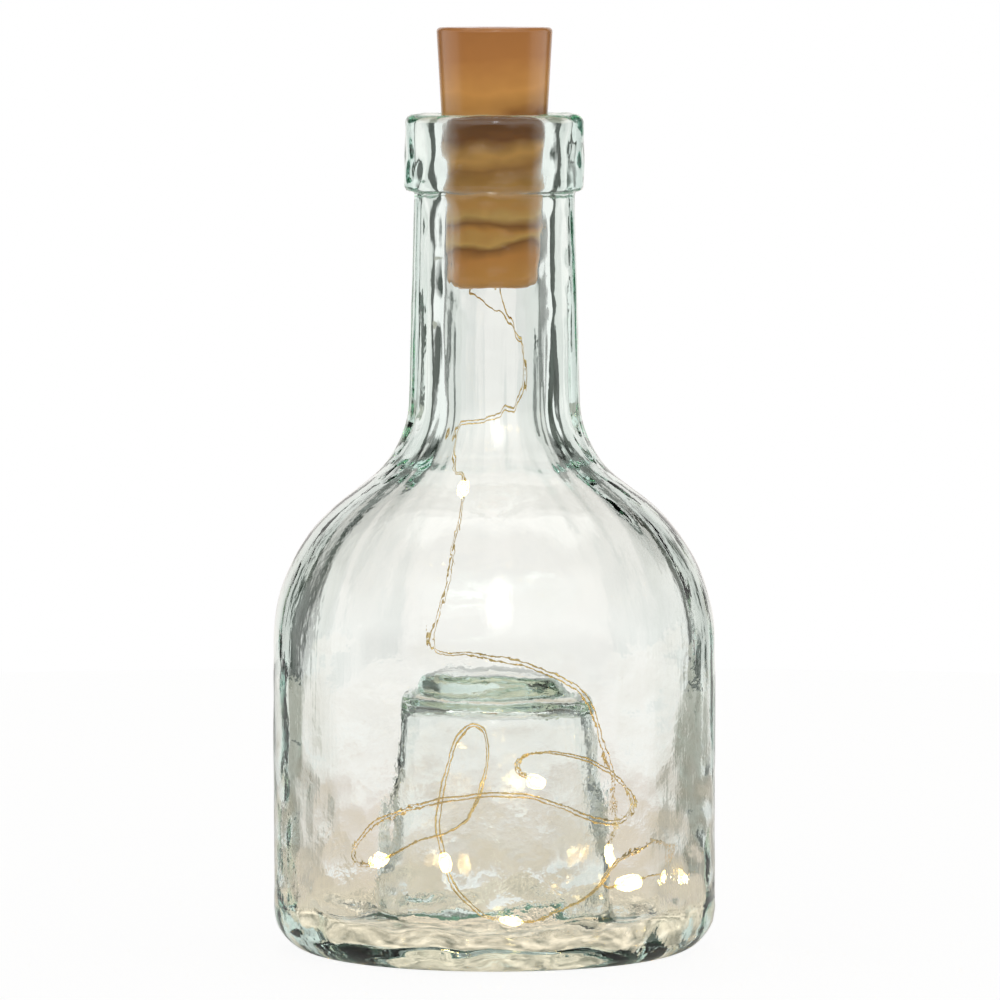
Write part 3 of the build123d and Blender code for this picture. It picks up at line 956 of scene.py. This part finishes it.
def table_material():
    """White with a faint shadow where the camera sees it; through the glass, painted light and
    shade: a warm pool with glints near the axis, and shade at the sides.
    """
    material, tree, shader, output = new_material("table_white")
    shader.inputs["Base Color"].default_value = (0.86, 0.86, 0.86, 1)
    shader.inputs["Roughness"].default_value = 0.7
    place = object_place(tree)
    across = add_math(tree, "POWER", place["X"], 2)
    squares = add_math(tree, "MULTIPLY_ADD", place["Y"], place["Y"], across)
    share = add_math(tree, "DIVIDE", add_math(tree, "SQRT", squares), table_radius)
    # Painted light and shade, as the table shows through the glass
    ringed = add_ramp(tree, share, table_painted_pool)
    sides = add_ramp_round(tree, share_round(tree, place), table_painted_sides)
    away = add_ramp(tree, share, [(table_round_start, mask_off), (table_round_full, mask_on)])
    shaded = add_blend(tree, away, ringed, sides, "MULTIPLY")
    # Painted light: mottled glints of the beads' light on the table near the axis
    painted_glint_mottle = add_mottle(tree, scale=260, detail=5.0, low=painted_glint_dark, high=painted_glint_bright)
    near = add_ramp(tree, share, [(painted_glints_full, mask_on), (painted_glints_end, mask_off)])
    with_painted_glints = add_blend(tree, near, shaded, painted_glint_mottle["Color"])
    ray = tree.nodes.new("ShaderNodeLightPath").outputs
    seen = add_blend(tree, ray["Is Camera Ray"], with_painted_glints, (*table_white, 1))
    glow = tree.nodes.new("ShaderNodeEmission")
    tree.links.new(seen, glow.inputs["Color"])
    seen_share = add_math(tree, "MULTIPLY", ray["Is Camera Ray"], table_white_share)
    glow_share = add_math(tree, "MAXIMUM", seen_share, ray["Is Transmission Ray"])
    both = add_shader_mix(tree, glow_share, shader.outputs["BSDF"], glow.outputs["Emission"])
    tree.links.new(both, output.inputs["Surface"])
    return material


# Table, studio and camera


def make_floor():
    """A round pale table top."""
    mesh = bpy.data.meshes.new("table")
    shape = bmesh.new()
    bmesh.ops.create_circle(shape, cap_ends=True, radius=table_radius, segments=96)
    shape.to_mesh(mesh)
    shape.free()
    mesh.materials.append(table_material())
    floor = bpy.data.objects.new("table", mesh)
    bpy.context.scene.collection.objects.link(floor)
    floor.location.z = -table_drop


def studio_light(tree, direction):
    """White behind and at the sides, with dark gaps between, and duller in front."""
    parts = split_vector(tree, direction)
    turn = share_round(tree, parts)
    half_turns_up = add_math(tree, "DIVIDE", add_math(tree, "ARCSINE", parts["Z"]), math.pi)
    climb = add_math(tree, "ADD", half_turns_up, 0.5)
    low_ring = add_ramp_round(tree, turn, studio_round)
    high_ring = add_ramp_round(tree, turn, studio_round_above)
    raised = add_ramp_up(tree, climb, [(above_start, mask_off), (above_full, mask_on)])
    ring = add_blend(tree, raised, low_ring, high_ring)
    levels_behind = add_ramp_up(tree, climb, studio_levels)
    levels_ahead = add_ramp_up(tree, climb, front_levels)
    ahead = add_ramp_round(tree, turn, [(sides_end, mask_off), (front_start, mask_on)])
    levels = add_blend(tree, ahead, levels_behind, levels_ahead)
    return add_background(tree, add_blend(tree, 1, ring, levels, "MULTIPLY"), 1.0)


def window_light(tree, direction):
    """A soft tall window in front."""
    away = add_vector_math(tree, "SUBTRACT", direction, window_direction)
    scaled = add_vector_math(tree, "DIVIDE", away.outputs["Vector"], window_reach)
    distance = add_vector_math(tree, "LENGTH", scaled.outputs["Vector"])
    stops = [(window_fade, mask_on), (1.0, mask_off)]
    soft = add_ramp(tree, distance.outputs["Value"], stops)
    strength = add_math(tree, "MULTIPLY", soft, window_strength)
    return add_background(tree, (*window_color, 1), strength)


def make_world():
    """Plain white where the camera sees it, and a studio all round for everything else."""
    world = bpy.data.worlds.new("studio")
    bpy.context.scene.world = world
    world.use_nodes = True
    tree = world.node_tree
    tree.nodes.clear()
    output = tree.nodes.new("ShaderNodeOutputWorld")
    direction = tree.nodes.new("ShaderNodeTexCoord").outputs["Generated"]
    both = tree.nodes.new("ShaderNodeAddShader")
    tree.links.new(studio_light(tree, direction), both.inputs[0])
    tree.links.new(window_light(tree, direction), both.inputs[1])
    plain = add_background(tree, (1, 1, 1, 1), 1.0)
    ray = tree.nodes.new("ShaderNodeLightPath").outputs
    seen = add_shader_mix(tree, ray["Is Camera Ray"], both.outputs["Shader"], plain)
    tree.links.new(seen, output.inputs["Surface"])


def make_camera():
    """The camera, at the photograph's place and angle."""
    camera = bpy.data.cameras.new("camera")
    camera.sensor_width = camera_sensor * 1000
    camera.lens = camera_lens * 1000
    camera.clip_start = camera_nearest
    camera.clip_end = camera_farthest
    holder = bpy.data.objects.new("camera", camera)
    bpy.context.scene.collection.objects.link(holder)
    holder.location = camera_place
    looking = Vector(camera_target) - Vector(camera_place)
    holder.rotation_euler = looking.to_track_quat("-Z", "Y").to_euler()
    bpy.context.scene.camera = holder


# The effect that the materials share, then the camera, the studio and the table
mottle = mottle_group()
make_camera()
make_world()
make_floor()

# Materials
glass = glass_material()
caramel = stopper_material()
wire = metal_material("string_wire", color=(0.95, 0.70, 0.30), roughness=0.28)
resin = resin_material()
phosphor = chip_material()
nickel = metal_material("contact_metal", color=(0.78, 0.75, 0.68), roughness=0.25)
cell_steel = metal_material("cell_steel", color=(0.74, 0.74, 0.73), roughness=0.18)
switch_steel = metal_material("switch_steel", color=(0.62, 0.62, 0.60), roughness=0.35)
black_plastic = plastic_material("knob_plastic", color=(0.03, 0.03, 0.03), roughness=0.45)
pale_plastic = plastic_material("carrier_plastic", color=(0.72, 0.71, 0.66), roughness=0.5)
laminate = plastic_material("board_laminate", color=(0.03, 0.20, 0.08), roughness=0.35)
lacquer = plastic_material("resistor_lacquer", color=(0.62, 0.44, 0.26), roughness=0.3)

# The light string: its wires, and the drop of resin round each of its eight chips
route = route_line("string_route", string_route)
path = line_points(route)
bpy.data.objects.remove(route)
wires = new_piece("light_wires", make_string_mesh(path), wire, "stopper")
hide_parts("light_string")

for number in range(1, bead_count + 1):
    low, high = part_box(f"led_bead_{number}")
    centre = (low + high) / 2
    mesh = make_drop_mesh(f"drop_{number}", centre, nearest_direction(path, centre), number)
    drop = new_piece(f"drop_{number}", mesh, resin, "stopper")
    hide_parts(f"led_bead_{number}")
    dress(f"led_chip_{number}", phosphor)

# The bottle
bottle = new_piece("bottle_glass", make_bottle_mesh(), glass, "bottle")
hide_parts("bottle")

# The stopper, and what is inside it
finishes = {
    "stopper_shell": caramel,
    "carrier_head": caramel,
    "switch_body": switch_steel,
    "switch_knob": black_plastic,
    "battery_carrier": pale_plastic,
    "cell_1": cell_steel,
    "cell_2": cell_steel,
    "cell_3": cell_steel,
    "top_contact": nickel,
    "bottom_contact": nickel,
    "side_strip": nickel,
    "contact_board": laminate,
    "centre_leaf": nickel,
    "side_leaf": nickel,
    "resistor": lacquer,
    "lead_left": wire,
    "lead_right": wire,
}
for node, material in finishes.items():
    dress(node, material)

bpy.context.scene.view_settings.view_transform = "Standard"
# Light goes round many times inside thick glass
bpy.context.scene.cycles.max_bounces = 24
bpy.context.scene.cycles.glossy_bounces = 14
bpy.context.scene.cycles.transmission_bounces = 16
